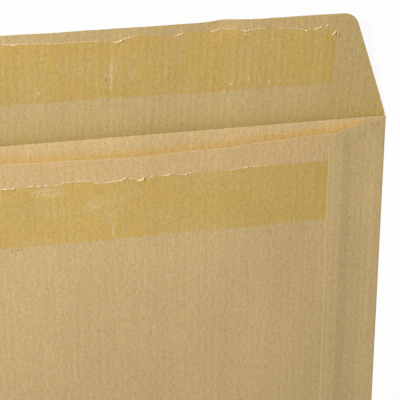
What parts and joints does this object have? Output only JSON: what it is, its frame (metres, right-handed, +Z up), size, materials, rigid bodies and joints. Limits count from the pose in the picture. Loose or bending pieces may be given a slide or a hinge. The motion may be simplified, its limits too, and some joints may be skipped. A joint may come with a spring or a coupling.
{
  "type": "kraft envelope",
  "caption": "Open pocket envelope of ribbed kraft paper with a raised trapezoid closing flap and latex self-seal strips.",
  "frame": {"origin": "centre of the front panel's underside, on the surface that the envelope lies on", "axes": "+X to the right across the back of the envelope, +Y from the bottom fold towards the closing flap, +Z up"},
  "size_m": [0.162, 0.2674, 0.0097],
  "materials": {
    "kraft_paper": "matte",
    "dried_latex": "satin"
  },
  "bodies": {
    "root": {"envelope_sheet": "kraft_paper", "flap_seal_strip": "dried_latex", "back_seal_strip": "dried_latex"}
  },
  "joints": []
}
